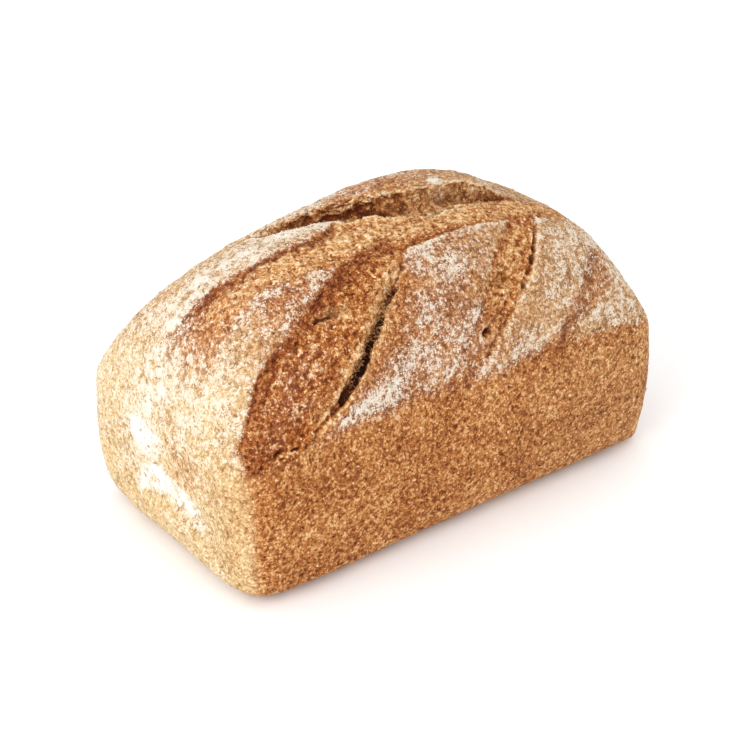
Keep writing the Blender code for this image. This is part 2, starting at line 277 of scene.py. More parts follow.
# Flour: dusted from the left before baking, thick on the left end and along the edges of
# the skins, in blots over the front, and stopped short by the tin's rim. Each patch has
# its x, turn, length, breadth, tilt and strength.
FLOUR_PATCHES = (
    (-72, 9, 34, 10, -3, 0.75), (-60, 6, 16, 4, -6, 0.55), (-30, 7, 22, 6, -14, 0.6),
    (-96, 12, 10, 22, 0, 0.4), (-97, -14, 9, 22, 0, 0.35), (-80, -26, 16, 8, 0, 0.2),
    (-66, -19.5, 9, 2.5, -5, 0.5), (-45, -24, 14, 4, 5, 0.35), (-96, -42, 8, 12, 0, 0.5),
    (-66, -34, 10, 4, 18, 0.3), (-3, -34, 9, 5, 25, 0.5), (9, -37, 7, 6, 20, 0.6),
    (18, -27, 18, 2, 4, 0.2), (-10, -50, 14, 6, 30, 0.35), (8, -57, 8, 4, 15, 0.42),
    (-22, -65, 16, 6, 15, 0.48), (-48, -75, 18, 4.5, 6, 0.65), (-36, -74, 7, 3, 6, 0.55),
    (-62, -76, 8, 4, 0, 0.45), (-5, -70, 22, 8, 8, 0.42), (20, -36, 14, 6, 20, 0.2),
    (55, -54, 14, 9, 20, 0.38), (36, -73, 12, 5, 8, 0.5), (66, -36, 14, 8, 10, 0.22),
    (82, -44, 18, 16, 0, 0.45), (84, -68, 18, 11, 0, 0.4), (62, -71, 10, 5, 0, 0.3),
    (14, -78, 16, 3, 5, 0.3), (55, -26.5, 9, 2.2, 6, 0.5), (-34, 20, 30, 8, -6, 0.45),
    (14, 22, 30, 8, -6, 0.3), (29, 4, 4, 3, 30, 0.95), (58, 4, 16, 8, -8, 0.2),
    (80, -12, 13, 12, 0, 0.25), (-60, 50, 40, 18, -10, 0.45), (40, 55, 35, 16, 0, 0.35),
)
RIM_STOP, RIM_DRIFT = (86, 76), 3.5
SKIN_DUST, LEFT_DUST, TORN_DUST, LIP_DUST = 0.14, 0.1, 0.16, 0.6
LEFT_SKIN, LEFT_TORN, LIP_BREAKS = (-50, -92), (-30, -70), (-0.5, 0.4)
PATCH_ON_SKIN, PATCH_ON_DOME = 0.84, 0.16
SPECKS, BLOTS, GRAIN_SPECKS, THIN_SPOTS = 0.5, 0.35, 0.4, 0.10
past_rim = turn + RIM_DRIFT * clouds(place, 10, 3, 27)
on_dome = ease(-RIM_STOP[0], -RIM_STOP[1], past_rim) * ease(*RIM_STOP, past_rim)
skin = (1 - torn) * on_dome
bare = 1 - SKIN_DUST * skin - LEFT_DUST * skin * ease(*LEFT_SKIN, along)
bare = bare - TORN_DUST * torn * on_dome * ease(*LEFT_TORN, along) * (1 - baked)
for x, turning, length, breadth, tilt, strength in FLOUR_PATCHES:
    held = skin * PATCH_ON_SKIN + PATCH_ON_DOME * on_dome
    bare *= 1 - patch(x, turning, length, breadth, tilt) * strength * held
bare *= 1 - LIP_DUST * lip * skin * ease(*LIP_BREAKS, clouds(place, 9, 3, 9))
flour = 1 - bare
flour = flour * (1 + SPECKS * clouds(place, 4.5, 3, 3) + BLOTS * clouds(place, 13, 2, 5)
                 + GRAIN_SPECKS * clouds(place, 2.3, 2, 43))
flour = np.clip(flour + THIN_SPOTS * skin * clouds(place, 9, 3, 12), 0, 1)

# The end wall's bowed crease holds flour that was pressed into it, and so does the hollow
# over it. Its lobe of dough is bare, and the rest is thinly dusted.
LEFT_END = (-86, -98)
FOLD_MIDDLE, FOLD_REACH, FOLD_HEIGHT, FOLD_DROP = -6, 26, 32, 7
FOLD_FLOUR, FOLD_HALF, FOLD_FIRM, FOLD_RAG, FOLD_ENDS = 0.95, 7.0, 4, 1.5, ((30, 12), (-36, -18))
HOLLOW_FLOUR, HOLLOW_Y, HOLLOW_Z, HOLLOW_WIDE, HOLLOW_TALL, HOLLOW_FIRM = 1.02, 11, 48, 18, 12, 1.5
HOLLOW_SHARE = 0.95
MOTTLE_BLOTS, MOTTLE_SPECKS = 0.3, 0.25
END_DUST, END_BLOTS, END_FAR_DUST, END_NEAR_CORNER, END_TOP = 0.3, 0.2, 0.15, (-52, -34), (72, 60)
on_left = ease(*LEFT_END, along)
fold_share = (across - FOLD_MIDDLE) / FOLD_REACH
fold_line = FOLD_HEIGHT - FOLD_DROP * fold_share ** 2 + FOLD_RAG * clouds(place, 9, 2, 33)
fold = FOLD_FLOUR * hump(high, fold_line, FOLD_HALF, FOLD_FIRM)
fold = fold * ease(*FOLD_ENDS[0], across) * ease(*FOLD_ENDS[1], across)
hollow = HOLLOW_FLOUR * oval((across - HOLLOW_Y) / HOLLOW_WIDE, (high - HOLLOW_Z) / HOLLOW_TALL, HOLLOW_FIRM)
mottle = 1 + MOTTLE_BLOTS * clouds(place, 6, 3, 19) + MOTTLE_SPECKS * clouds(place, 2.3, 2, 44)
dusted = END_DUST + END_BLOTS * clouds(place, 12, 3, 21)
dusted = dusted + END_FAR_DUST * ease(-10, 20, across) * ease(20, 40, high)
end_flour = np.maximum(dusted * ease(*END_NEAR_CORNER, across), (fold + hollow * HOLLOW_SHARE) * mottle)
flour = np.clip(np.maximum(flour, on_left * end_flour * ease(*END_TOP, high)), 0, 1)

# How far the solid's widest crack goes below the dome's own surface
WIDE_CRACK = ((-22, -37.5), (-28, -43.5), (-36, -52), (-43, -59.5), (-50.5, -66.5), (-59, -72),
              (-68, -77.5), (-73, -79.5))
CRACK_REACH, CRACK_STRETCH, CRACK_FADE = 9, (0.02, 0.98), (0.25, 0.6)
dome_share = ridge_share(along)
dome_share *= np.clip(1 - np.abs(across / HALF_WIDTH) ** ARCH_ACROSS[0], 0, 1) ** (1 / ARCH_ACROSS[1])
dome_high = RIM_HEIGHT + rise_at(along) * dome_share
recess = (dome_high - high) * np.sqrt(np.clip(1 - (across / HALF_WIDTH) ** 2, 0, 1))
near_crack = ease(*CRACK_FADE, near_line(WIDE_CRACK, CRACK_REACH, CRACK_STRETCH))

# The mouth under the flap, which runs along the ridge: the flap's torn face, with a dark roof,
# red-brown strands and painted shade under the flap, over golden crumb, the floor before it, and the dough
# peeled bare behind it
FLAP_FROM, FLAP_TO, FLAP_EDGE = -50, 60, (21, 13.5, 6, -2, -2, -8)
MOUTH_LIP = ((-44, 15), (-30, 10), (-20, 7), (-10, 3), (0, 0), (14, -6), (26, -6), (42, -7), (56, -11))
EDGE_RAG, FINE_RAG = 0.8, 0.8
MOUTH_HEIGHTS = (92, 98)
FACE_MIDDLE, FACE_WIDTH, FACE_TILT = -0.5, 2.6, (0.25, 0.6)
FLOOR_NEAR, FLOOR_FAR = (-8.5, -6.5), (1.5, -0.5)
CREST_MIDDLE, CREST_REACH, CREST_LEAST, CREST_START = 1.5, 3, 0.3, 100
GOLDEN_FROM, GOLDEN_TO = (-2, 8), (44, 35)
ROOF_DEPTH, ROOF_SOFT, ROOF_DEEPER, ROOF_LEFT = 3.4, 0.7, 2.0, (4, -10)
ROOF_ENDS_FROM, ROOF_ENDS_TO = (18, 24), (40, 34)
PEELED, PEELED_FROM, PEELED_TO, PEELED_PAST_EDGE = 5.0, (-54, -38), (14, -6), (0, 1.5)
TORN_RIM_DEPTH, TORN_RIM_TO = (1.3, 0.3), (40, 32)
DARK_MIDDLE, DARK_WIDTH, DARK_FROM, DARK_TO, DARK_RAG = -0.6, 1.5, (30, 37), (68, 60), 0.6
FRINGE_WIDTH = 1.6
STRAND_SIZES, STRAND_DRAWN = (2.0, 2.2), (0.3, 0.35)
flap_share = np.clip((along - FLAP_FROM) / (FLAP_TO - FLAP_FROM), 0, 1)
edge_spots = smooth_line(tuple(zip(np.linspace(0, 1, len(FLAP_EDGE)), FLAP_EDGE)))
past_edge = across - np.interp(flap_share, edge_spots[:, 0], edge_spots[:, 1]) + EDGE_RAG * ragged
gape = np.sin(math.pi * flap_share) ** 0.5 * ease(*MOUTH_HEIGHTS, high)
flap_face = hump(past_edge, FACE_MIDDLE, FACE_WIDTH) * ease(*FACE_TILT, -out[:, 1]) * gape
mouth_floor = ease(*FLOOR_NEAR, past_edge) * ease(*FLOOR_FAR, past_edge) * gape * (1 - flap_face)
in_mouth = np.clip(flap_face + mouth_floor, 0, 1)
rag_fine = clouds(place, 2.6, 3, 31)
flap_crest = (np.abs(past_edge - CREST_MIDDLE) < CREST_REACH) & (gape > CREST_LEAST)
crest_x = np.arange(-54, 66, float(CREST_REACH))
crest_high = np.array([high[flap_crest & (np.abs(along - x) < CREST_REACH)].max(initial=CREST_START)
                       for x in crest_x])
below_flap = np.interp(along, crest_x, crest_high) - high
golden = ease(*GOLDEN_FROM, along) * ease(*GOLDEN_TO, along)
roof_depth = ROOF_DEPTH + ROOF_DEEPER * ease(*ROOF_LEFT, along)
roof_depth = roof_depth - ROOF_DEPTH * ease(*ROOF_ENDS_FROM, along) * ease(*ROOF_ENDS_TO, along)
roof = in_mouth * ease(roof_depth + ROOF_SOFT, roof_depth - ROOF_SOFT, below_flap + EDGE_RAG * ragged)
peeled = PEELED * ease(*PEELED_TO, along) * ease(*PEELED_FROM, along)
behind = gape * ease(*PEELED_PAST_EDGE, past_edge)
behind = behind * ease(peeled + ROOF_SOFT, peeled - ROOF_SOFT, past_edge + FINE_RAG * rag_fine)
torn_rim = in_mouth * ease(*TORN_RIM_DEPTH, below_flap + FINE_RAG * rag_fine) * ease(*TORN_RIM_TO, along)
# A thin dark strip under the flap's right edge: its red-brown edge, and painted shade in the slot beneath it
dark_edge = hump(past_edge, DARK_MIDDLE, DARK_WIDTH) * ease(*DARK_FROM, along) * ease(*DARK_TO, along)
dark_edge = dark_edge * ease(*MOUTH_HEIGHTS, high)
dark_edge *= 1 + DARK_RAG * rag_fine
fringe = near_line(MOUTH_LIP, FRINGE_WIDTH)
strands = clouds(place * (STRAND_DRAWN[0], 1, 1), STRAND_SIZES[0], 3, 4) * (1 - golden)
strands = strands + clouds(place * (1, 1, STRAND_DRAWN[1]), STRAND_SIZES[1], 3, 4) * golden

# Open crumb shows beside the widest crack, in the front score, at the lips and in the
# mouth, and the long score's dough is light too. The roof is dark with red-brown strands and painted shade,
# and the crack's walls with painted shade.
FRONT_CRUMB = ((46, -31), (38, -38), (30, -46), (20, -55))
TEAR_LIP = ((-51, -38.5), (-43, -40.5))
LONG_LOW = (-26, -18)
CRACK_CRUMB, CRACK_CRUMB_STRETCH, FRONT_CRUMB_WIDTH, TEAR_WIDTH = 5.0, (0.1, 0.62), 5.5, 2.2
FRONT_SHARE, LONG_SHARE, LONG_BAKED_LESS, MOUTH_SHARE, RIM_SHARE = 0.85, 0.85, 0.6, 0.95, 0.7
CRUMB_MOTTLE = 0.35
ROOF_DARK, ROOF_LEFT_LESS, ROOF_LEFT_FROM, ROOF_RIM_LESS = 0.8, 0.35, (5, -15), 0.8
BEHIND_DARK, BEHIND_STRANDS = 0.45, 0.5
CRACK_WALL_DARK, CRACK_WALL_RAG, CRACK_WALL_RECESS = 0.7, 0.25, (1.6, 3.8)
MOUTH_PIT_SIZE, MOUTH_PIT_WIDTH = 6.5, (0.42, 0.2)
long_dough = ease(*LONG_LOW, turn)
crumb = np.maximum(near_line(WIDE_RUN, CRACK_CRUMB, CRACK_CRUMB_STRETCH) * torn,
                   near_line(FRONT_CRUMB, FRONT_CRUMB_WIDTH) * torn * FRONT_SHARE)
crumb = np.maximum(crumb, np.maximum(near_line(TEAR_LIP, TEAR_WIDTH), np.maximum(mouth_floor, fringe)))
crumb = np.maximum(crumb, LONG_SHARE * long_ends * torn * long_dough * (1 - LONG_BAKED_LESS * baked))
crumb = np.clip(crumb * (1 + CRUMB_MOTTLE * clouds(place, 5, 3, 13)), 0, 1)
# The roof's darkness: its red-brown strands together with painted shade under the flap
roof_dark = roof * (ROOF_DARK - ROOF_LEFT_LESS * ease(*ROOF_LEFT_FROM, along)) * (1 - ROOF_RIM_LESS * torn_rim)
baked = np.maximum(baked * (1 - in_mouth), roof_dark)
crumb = np.clip(crumb + MOUTH_SHARE * (in_mouth - roof), 0, 1)
crumb = np.maximum(crumb, RIM_SHARE * torn_rim * (1 - behind))
torn = np.maximum(torn, behind)
baked = np.maximum(baked * (1 - behind), behind * (BEHIND_DARK - BEHIND_STRANDS * strands))
# The strip under the flap's edge: red-brown edge and painted shade
baked = np.maximum(baked, dark_edge)
# Painted shade: the widest crack's walls are darker the deeper they lie below the dome
in_crack = ease(*CRACK_WALL_RECESS, recess) * near_crack
baked = np.maximum(baked, in_crack * (CRACK_WALL_DARK - CRACK_WALL_RAG * rag_fine))
mouth_pits = ease(*MOUTH_PIT_WIDTH, cells(place, MOUTH_PIT_SIZE, 3.3)) * (in_mouth - roof)

# The narrow cracks and the large pores: each one's line in x and turn, the stretch of it
# that is open, half its width, how much deeper than the solid it goes and how much painted shade darkens it
WHOLE = (0.0, 1.0)
CRACKS = {
    "wide crack's tail": (WIDE_CRACK, (0.84, 1.0), 0.6, 0.9, 0.7),
    "front crack": (FRONT_RUN, (0.1, 0.46), 0.7, 1.5, 0.75),
    "front crack's tail": (FRONT_RUN, (0.5, 0.85), 0.5, 0.6, 0.5),
    "tear": (((-55, -39), (-52, -39.5), (-49.5, -40)), WHOLE, 1.0, 2.0, 0.9),
    "pit 1": (((-85, -77), (-83, -76.5)), WHOLE, 0.8, 1.8, 1.0),
    "pit 2": (((-79, -77.5), (-76, -78)), WHOLE, 0.7, 1.6, 1.0),
    "pore 1": (((14.2, -65.2), (15.5, -64.8)), WHOLE, 1.1, 3.5, 1.0),
    "pore 2": (((26.5, -47.5), (29.5, -46.5)), WHOLE, 2.4, 2.2, 0.4),
    "pore 3": (((22, -52), (25, -53.5)), WHOLE, 1.0, 1.2, 0.4),
    "pore 4": (((43, -35), (44.5, -34)), WHOLE, 1.2, 1.4, 0.45),
}
RAG_SHARE, HALF_RAG = 1.3, 0.5
rag = RAG_SHARE * rag_fine
open_crack, crack_depth, crack_dark = (np.zeros(len(place)) for _ in range(3))
for line, stretch, half, depth, dark in CRACKS.values():
    inside = near_line(line, half * (1 + HALF_RAG * rag), stretch)
    open_crack = np.maximum(open_crack, inside)
    crack_depth = np.maximum(crack_depth, inside * depth)
    crack_dark = np.maximum(crack_dark, inside * dark)


def settled(piece, points, rounds):
    """Points after rounds of moving each half way to the middle of its neighbours."""
    ends = np.empty(len(piece.data.edges) * 2, np.int64)
    piece.data.edges.foreach_get("vertices", ends)
    first, last = ends.reshape(-1, 2).T
    total = len(points)
    count = np.bincount(first, minlength=total) + np.bincount(last, minlength=total)
    for _ in range(rounds):
        sums = [np.bincount(first, points[last, i], total) + np.bincount(last, points[first, i], total)
                for i in range(3)]
        points = 0.5 * points + 0.5 * np.stack(sums, 1) / count[:, None]
    return points


# The steps at the scores' edges are rounded off, apart from the cracks and the mouth
ROUND_OFF_ROUNDS, ROUND_OFF_BY = 26, 1.2
FIRM_WIDE, FIRM_FRONT, FIRM_EDGE = 6, 3, 9
firm = near_line(WIDE_CRACK, FIRM_WIDE) + near_line(FRONT_RUN, FIRM_FRONT)
firm = firm + gape * hump(past_edge, 0, FIRM_EDGE)
round_off = (np.clip(step_slope * ROUND_OFF_BY, 0, 1) * np.clip(1 - firm, 0, 1))[:, None]
place = place + (settled(crust, place, ROUND_OFF_ROUNDS) - place) * round_off

# Relief in millimetres: blistered skin, coarse torn dough with open pores, fine pits in
# the walls, raised borders, sunk strips and stringy crumb in the mouth
BLISTERS, WALL_SWELL, WAVES = 0.34, 0.16, 0.5
COARSE, FINE = 0.75, 0.35
TORN_ROUGH, TORN_PORES, CRUMB_PORES = 0.8, 0.7, 1.2
PORE_SIZE, PORE_WIDTH, PIT_SIZE, PIT_WIDTH = 3.4, (0.34, 0.12), 5.2, (0.3, 0.1)
BORDER_RISE, BORDER_RAG, WALL_PITS, BAKED_SINK = 0.6, 0.9, 0.5, 0.4
FACE_STRANDS, FACE_SINK, BEHIND_SINK = 1.2, 0.6, 1.1
FLOOR_SINK, FLOOR_ROUGH, MOUTH_PIT_DEPTH, EDGE_SINK = 0.8, 0.8, 1.8, 0.9
LIP_RISE, LIP_RISE_WIDTH, LIP_RISE_STRETCH, LIP_RISE_LEFT = 1.8, 5, (0.0, 0.5), (8, -6)
DRIFT_SIZE, DRIFT_CRACK, DRIFT_LIP, DRIFT_MOUTH = 3.2, 1.5, 0.8, 3
walls = 1 - on_dome
swell = BLISTERS * clouds(place, 5.5, 4, 2) * (1 - walls) + WALL_SWELL * clouds(place, 4, 3, 8) * walls
rough = COARSE * clouds(place, 4.5, 4, 17) + FINE * clouds(place, 1.9, 2, 6)
pores = ease(*PORE_WIDTH, cells(place, PORE_SIZE, 2.5))
fine_pits = ease(*PIT_WIDTH, cells(place, PIT_SIZE, 7.5))
height = swell + rough * torn * TORN_ROUGH - pores * np.maximum(torn * TORN_PORES, crumb * CRUMB_PORES)
height += WAVES * clouds(place, 17, 2, 14) * on_dome
height += BORDER_RISE * lip * (1 - torn) * (1 + BORDER_RAG * rag) - WALL_PITS * fine_pits * walls
height -= crack_depth
height -= BAKED_SINK * baked * (1 - walls)
height += flap_face * (FACE_STRANDS * strands - FACE_SINK) + behind * (strands - BEHIND_SINK)
raised_lip = LIP_RISE * near_line(MOUTH_LIP, LIP_RISE_WIDTH, LIP_RISE_STRETCH)
raised_lip = raised_lip * ease(*LIP_RISE_LEFT, along) * (1 - in_mouth)
height += raised_lip - EDGE_SINK * dark_edge
height -= mouth_floor * (FLOOR_SINK + FLOOR_ROUGH * rough) + MOUTH_PIT_DEPTH * mouth_pits
moved = place + out * height[:, None]
drift = np.stack([clouds(place, DRIFT_SIZE, 3, 50 + i) for i in range(3)], 1)
drift -= out * (drift * out).sum(1)[:, None]
near_edges = open_crack * DRIFT_CRACK + DRIFT_LIP * lip + near_line(MOUTH_LIP, DRIFT_MOUTH) + flap_face
moved += drift * np.clip(near_edges, 0, 1)[:, None]
moved[:, 2] = np.maximum(moved[:, 2], 0)
crust.data.vertices.foreach_set("co", (moved / MM).ravel())
crust.data.update()
out = rows_of(crust, "normal")

# How far each point lies under its close and its wide surroundings, and where it is deep
# enough to see no light, which is painted near black as shade in the cracks, pores and mouth
CLOSE_ROUNDS, WIDE_ROUNDS = 6, 90
GULLY_RECESS, GULLY_RAG, GULLY_HEAD, GULLY_HEAD_LESS = (3.4, 6.2), 1.2, (-41, -37), 1.2
DARK_DIP, DARK_CRACK, DARKEST_CRACK, DARKEST_CRACK_SHARE = (0.8, 3.0), (0.15, 0.5), (0.5, 0.9), 0.85
MOUTH_DEPTHS, MOUTH_PAINTED_SHADE, PIT_PAINTED_SHADE = (6.5, 8.5), 0.45, 0.7
small_dip = ((settled(crust, moved, CLOSE_ROUNDS) - moved) * out).sum(1)
large_dip = ((settled(crust, moved, WIDE_ROUNDS) - moved) * out).sum(1)
rough_recess = recess + GULLY_RAG * rag_fine - GULLY_HEAD_LESS * ease(*GULLY_HEAD, turn)
gully = near_crack * ease(*GULLY_RECESS, rough_recess)
deep = np.maximum(ease(*DARK_DIP, large_dip) * ease(*DARK_CRACK, crack_dark), gully)
mouth_painted_shade = MOUTH_PAINTED_SHADE * ease(*MOUTH_DEPTHS, below_flap) * (1 - golden) + PIT_PAINTED_SHADE * mouth_pits
deep = np.maximum(deep, in_mouth * mouth_painted_shade)
deep = np.clip(np.maximum(deep, DARKEST_CRACK_SHARE * ease(*DARKEST_CRACK, crack_dark)), 0, 1)

# Paler crust: on the left end, on its dome and behind the flap, and a little on the
# skins to the right. The end's lobe and a ruddy spot over it are darker.
END_PALE, LOBE_LESS, RUDDY_LESS = 0.95, 0.1, 0.4
DOME_PALE, BACK_PALE, WALL_PALE, RIGHT_PALE = 0.75, 0.6, 0.1, 0.38
LOBE_DROP, LOBE_HALF, LOBE_ENDS = -10, 6, (1.3, 1.0)
RUDDY_Y, RUDDY_Z, RUDDY_WIDE, RUDDY_TALL = -20, 46, 14, 9
FACING_LEFT, FACING_ROUNDS = (0.3, 0.75), 12
END_PALE_MOTTLE, CORNER_PALE, CORNER_Y = 0.3, 0.6, (-56, -30)
lobe = hump(high - fold_line, LOBE_DROP, LOBE_HALF) * ease(*LOBE_ENDS, np.abs(fold_share)) * on_left
ruddy = oval((across - RUDDY_Y) / RUDDY_WIDE, (high - RUDDY_Z) / RUDDY_TALL)
facing_left = ease(*FACING_LEFT, settled(crust, -out, FACING_ROUNDS)[:, 0])
end_pale = END_PALE + END_PALE_MOTTLE * clouds(place, 8, 3, 41) - LOBE_LESS * lobe - RUDDY_LESS * ruddy
pale = on_left * facing_left * end_pale
pale *= CORNER_PALE + (1 - CORNER_PALE) * ease(*CORNER_Y, across)
pale = np.maximum(pale, DOME_PALE * ease(-62, -96, along) * on_dome * (1 - 0.6 * torn))
back_pale = BACK_PALE * ease(10, -40, along) * ease(-3, 3, turn) * skin
pale = np.maximum(pale, back_pale + WALL_PALE * ease(0, 80, along) * walls)
pale = np.maximum(pale, RIGHT_PALE * skin * ease(-20, 60, along) * ease(-84, -74, turn))
pale = np.clip(pale, 0, 1)

# The values that the finish reads at the crust's points. Mottling goes with the baked
# tone, and no flour lies in the cracks and the mouth, but for a caked spot on the flap.
TORN_MOTTLE, SKIN_MOTTLE = 0.3, 0.08
CAKED_SPOT = (29, 4, 4, 3, 30)
DIP_MIDDLE, DIP_SHARE = 0.5, 0.9
mottled = TORN_MOTTLE * torn * clouds(place, 9, 3, 23)
mottled = mottled + SKIN_MOTTLE * skin * (1 - pale) * (1 + 2 * clouds(place, 6, 3, 29))
torn_light = np.clip(1 - 1.4 * baked, 0, 1) * long_ends * torn * long_dough
no_flour = open_crack * 2 + in_mouth + behind + dark_edge + near_crack * ease(1.2, 2.2, recess)
no_flour = np.clip(no_flour + near_line(WIDE_CRACK, 3.2), 0, 1)
paler = 0.75 * strands * in_mouth - 0.05 * (in_mouth - roof) + 0.25 * near_line(TEAR_LIP, 2)
paler += (0.25 + 0.35 * ease(10, -5, along)) * fringe + 0.4 * torn_rim * (1 - behind)
layers = {
    "torn": torn,
    "baked": np.clip(baked + mottled, 0, 1),
    "flour": flour * (1 - no_flour * (1 - patch(*CAKED_SPOT))),
    "crumb": np.maximum(crumb, torn_light * 0.9),
    "pale": pale,
    # dip: painted shade in the small hollows, lifted where strands, fringes and lips are really lighter
    "dip": np.clip(DIP_MIDDLE + small_dip * DIP_SHARE - paler, 0, 1),
    "deep": deep,
}


def keep(piece, name, values):
    """Store a value at every point for the finish to read."""
    layer = piece.data.attributes.new(name, "FLOAT", "POINT")
    layer.data.foreach_set("value", np.asarray(values, np.float32))


for name, values in layers.items():
    keep(crust, name, values)


class Wire:
    """One socket of a finish. Sums on wires add Math nodes to it."""

    def __init__(self, finish, socket):
        self.finish, self.socket = finish, socket

    def sum(self, operation, *terms):
        return self.finish.node("ShaderNodeMath", {"operation": operation}, dict(enumerate(terms)))

    def __add__(self, other):
        return self.sum("ADD", self, other)

    def __sub__(self, other):
        return self.sum("SUBTRACT", self, other)

    def __rsub__(self, other):
        return self.sum("SUBTRACT", other, self)

    def __mul__(self, other):
        return self.sum("MULTIPLY", self, other)

    __radd__, __rmul__ = __add__, __mul__

    def between(self, low, high):
        """A smooth rise from 0 at low to 1 at high."""
        inputs = {"Value": self, "From Min": low, "From Max": high}
        return self.finish.node("ShaderNodeMapRange", {"interpolation_type": "SMOOTHSTEP"}, inputs)


class Finish:
    """A material and the nodes of its tree."""

    def __init__(self, name):
        self.material = bpy.data.materials.new(name)
        self.material.use_nodes = True
        self.tree = self.material.node_tree

    def node(self, kind, settings, inputs, output=0):
        """Add a node with its settings, then the values or links of its sockets."""
        node = self.tree.nodes.new(kind)
        for name, value in settings.items():
            if name == "stops":
                ramp = node.color_ramp
                while len(ramp.elements) < len(value):
                    ramp.elements.new(1.0)
                for element, (position, colour) in zip(ramp.elements, value):
                    element.position, element.color = position, (*colour, 1.0)
            else:
                setattr(node, name, value)
        self.join(node, inputs)
        return Wire(self, node.outputs[output])

    def join(self, node, inputs):
        """Link a wire to each socket that is named, or set the socket's value."""
        for name, value in inputs.items():
            socket = node.inputs[name]
            if isinstance(value, Wire):
                self.tree.links.new(value.socket, socket)
            elif socket.type == "RGBA":
                socket.default_value = (*value, 1.0)
            else:
                socket.default_value = value

    def surface(self, colour, roughness, **others):
        """Give the surface its colour and roughness, and other values by their names."""
        inputs = {"Base Color": colour, "Roughness": roughness, **others}
        self.join(self.tree.nodes["Principled BSDF"], inputs)

    def layer(self, name):
        """A value stored at the piece's points."""
        return self.node("ShaderNodeAttribute", {"attribute_name": name}, {}, "Fac")

    def mix(self, below, above, share):
        """One colour over another, on the colour sockets of a Mix node."""
        return self.node("ShaderNodeMix", {"data_type": "RGBA"}, {0: share, 6: below, 7: above}, 2)


def paint(red, green, blue):
    """A colour from its screen values, 0 to 255."""
    return tuple(((v / 255 + 0.055) / 1.055) ** 2.4 if v > 10 else v / 255 / 12.92 for v in (red, green, blue))


# The finish: fine grains of bran and flour dust over tones that follow the layers. Each
# tone runs from its darkest to its lightest grain. Scales are features in a metre.
GRAIN_SCALE, STIR_SCALE, STIR_BY = 1050.0, 1500.0, 0.0011
FINE_VEINS, MIDDLE_VEINS, BROAD_VEINS = (1900.0, 2.0, 0.7), (480.0, 3.0, 0.6), (55.0, 3.0, 0.5)
TONE_GRAIN, TONE_FINE, TONE_MIDDLE, TONE_BROAD = 0.42, 0.9, 0.7, 0.35
DIP_DARK, EDGE_DARK, LIGHTER = 0.7, 0.25, 0.08
CAUGHT_MIDDLE, CAUGHT_FINE, CAUGHT_GRAIN, CAUGHT_DIP = 2.2, 1.8, 0.4, 0.8
COVER_BETWEEN, COVER_MOST, COVER_ALL_OVER, LEAST_FLOUR = (0.34, 0.86), 0.84, 0.15, (0.02, 0.2)
THICK_BETWEEN, PAINTED_SHADE_SHARE = (0.7, 1.0), 0.9
CRUST_ROUGHNESS, FLOUR_ROUGHNESS, DULL = 0.85, 0.95, {"Specular IOR Level": 0.2}
BUMP_EDGE, BUMP_FINE, BUMP_MIDDLE = -0.6, 0.8, 0.9
BUMP_HEIGHT, BUMP_STRENGTH = 0.0009, 0.8
TONE_STOPS = (0.12, 0.34, 0.52, 0.70, 0.92)
TONES = {
    "crust": ((90, 40, 14), (149, 83, 38), (188, 121, 64), (218, 165, 105), (242, 214, 168)),
    "pale": ((162, 122, 70), (207, 176, 121), (223, 199, 149), (232, 215, 173), (244, 234, 206)),
    "torn": ((98, 42, 12), (140, 68, 24), (174, 100, 42), (207, 145, 81), (246, 220, 172)),
    "crumb": ((136, 74, 30), (186, 119, 64), (216, 165, 105), (236, 199, 148), (250, 232, 197)),
    "baked": ((80, 32, 10), (120, 58, 24), (148, 80, 38), (176, 112, 62), (216, 166, 114)),
}
TONE_SHARES = {"pale": 0.85, "torn": 1.0, "crumb": 1.0, "baked": 1.0}
FLOUR_WHITE, THICK_FLOUR, PAINTED_SHADE_BROWN = paint(230, 218, 200), paint(242, 238, 231), paint(54, 25, 10)
bake = Finish("floured crust")
spot = bake.node("ShaderNodeTexCoord", {}, {}, "Object")


def veins(scale, detail, rough):
    """A noise over the crust, from about 0.2 to 0.8."""
    inputs = {"Vector": spot, "Scale": scale, "Detail": detail, "Roughness": rough}
    return bake.node("ShaderNodeTexNoise", {}, inputs)


def grains(output):
    """Scattered grains: each one's colour, or how far its middle is."""
    return bake.node("ShaderNodeTexVoronoi", {}, {"Vector": warp, "Scale": GRAIN_SCALE}, output)


stir = bake.node("ShaderNodeTexNoise", {}, {"Vector": spot, "Scale": STIR_SCALE, "Detail": 1.0}, "Color")
warp = bake.node("ShaderNodeVectorMath", {"operation": "MULTIPLY_ADD"},
                 {0: stir, 1: (STIR_BY, STIR_BY, STIR_BY), 2: spot}, "Vector")
grain_tone = bake.node("ShaderNodeSeparateColor", {}, {"Color": grains("Color")}, "Red")
grain_edge = grains("Distance")
fine, middle, broad = veins(*FINE_VEINS), veins(*MIDDLE_VEINS), veins(*BROAD_VEINS)
dip = bake.layer("dip")
tone = (grain_tone - 0.5) * TONE_GRAIN + (fine - 0.5) * TONE_FINE
tone = tone + (middle - 0.5) * TONE_MIDDLE + (broad - 0.5) * TONE_BROAD
# Darker where dip is high: painted shade in small hollows, and the real tones of bran grains, strands and
# fringes
tone = tone + 0.5 - (dip - 0.5) * DIP_DARK - grain_edge * EDGE_DARK + LIGHTER


def browned(name):
    """The tone's colours from its darkest to its lightest grain."""
    stops = tuple((stop, paint(*screen)) for stop, screen in zip(TONE_STOPS, TONES[name]))
    return bake.node("ShaderNodeValToRGB", {"stops": stops}, {"Fac": tone}, "Color")


